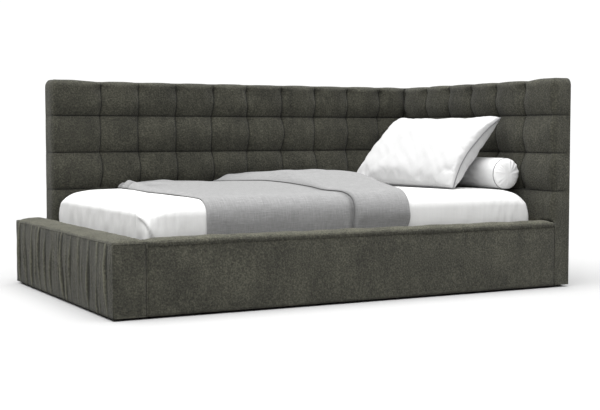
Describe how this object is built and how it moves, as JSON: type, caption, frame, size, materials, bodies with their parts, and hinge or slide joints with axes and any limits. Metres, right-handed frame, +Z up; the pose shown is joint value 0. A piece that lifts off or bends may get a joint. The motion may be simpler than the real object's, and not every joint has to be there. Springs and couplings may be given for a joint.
{
  "type": "corner daybed",
  "caption": "Upholstered corner daybed with tufted back and head panels, low foot block and front rail, slatted base, mattress, blanket, bolster and pillow.",
  "frame": {"origin": "on the floor under the middle of the bed's bounding box", "axes": "+X from the low foot block to the tall head panel, +Y from the open front side to the tall back panel, +Z up"},
  "size_m": [2.33, 1.42, 1.008],
  "materials": {
    "upholstery": "nubby olive grey velour",
    "timber": "raw board",
    "birch": "lacquered bent plywood",
    "steel": "black powder coat",
    "plastic": "moulded matt",
    "sheeting": "white cotton sheet",
    "linen": "open grey linen weave",
    "cotton": "white cotton with grey piping"
  },
  "bodies": {
    "bed_frame": {"foot_block_upholstery": "upholstery", "front_rail_upholstery": "upholstery", "back_panel_upholstery": "upholstery", "head_panel_upholstery": "upholstery", "foot_block_outer_board": "timber", "foot_block_inner_board": "timber", "foot_block_top_board": "timber", "foot_block_front_end": "timber", "foot_block_front_rib": "timber", "foot_block_back_rib": "timber", "foot_block_back_end": "timber", "front_rail_board": "timber", "back_rail": "timber", "head_rail": "timber", "back_panel_board": "timber", "head_panel_board": "timber", "ledge_front": "timber", "ledge_back": "timber", "ledge_foot": "timber", "ledge_head": "timber", "slat_01": "birch", "slat_02": "birch", "slat_03": "birch", "slat_04": "birch", "slat_05": "birch", "slat_06": "birch", "slat_07": "birch", "slat_08": "birch", "slat_09": "birch", "slat_10": "birch", "slat_11": "birch", "slat_12": "birch", "slat_13": "birch", "slat_14": "birch", "base_tube_foot": "steel", "base_tube_head": "steel", "base_tube_front": "steel", "base_tube_back": "steel", "base_tube_middle": "steel", "centre_leg_1": "steel", "centre_leg_2": "steel", "centre_leg_3": "steel", "corner_bracket_front_foot": "steel", "corner_bracket_front_head": "steel", "corner_bracket_back_foot": "steel", "corner_bracket_back_head": "steel", "glide_1": "plastic", "glide_2": "plastic", "glide_3": "plastic", "glide_4": "plastic", "glide_5": "plastic", "glide_6": "plastic", "glide_7": "plastic", "glide_8": "plastic"},
    "mattress": {"mattress": "sheeting", "blanket": "linen"},
    "bolster": {"bolster": "cotton"},
    "pillow": {"pillow": "cotton"}
  },
  "joints": [
    {"name": "mattress_lift", "type": "slide", "parent": "bed_frame", "child": "mattress", "axis": [0, 0, 1], "range_m": [0, 0.78]},
    {"name": "pillow_lift", "type": "slide", "parent": "mattress", "child": "pillow", "axis": [0, 0, 1], "range_m": [0, 0.56]},
    {"name": "bolster_draw", "type": "slide", "parent": "mattress", "child": "bolster", "axis": [0, -1, 0], "range_m": [0, 1]}
  ]
}
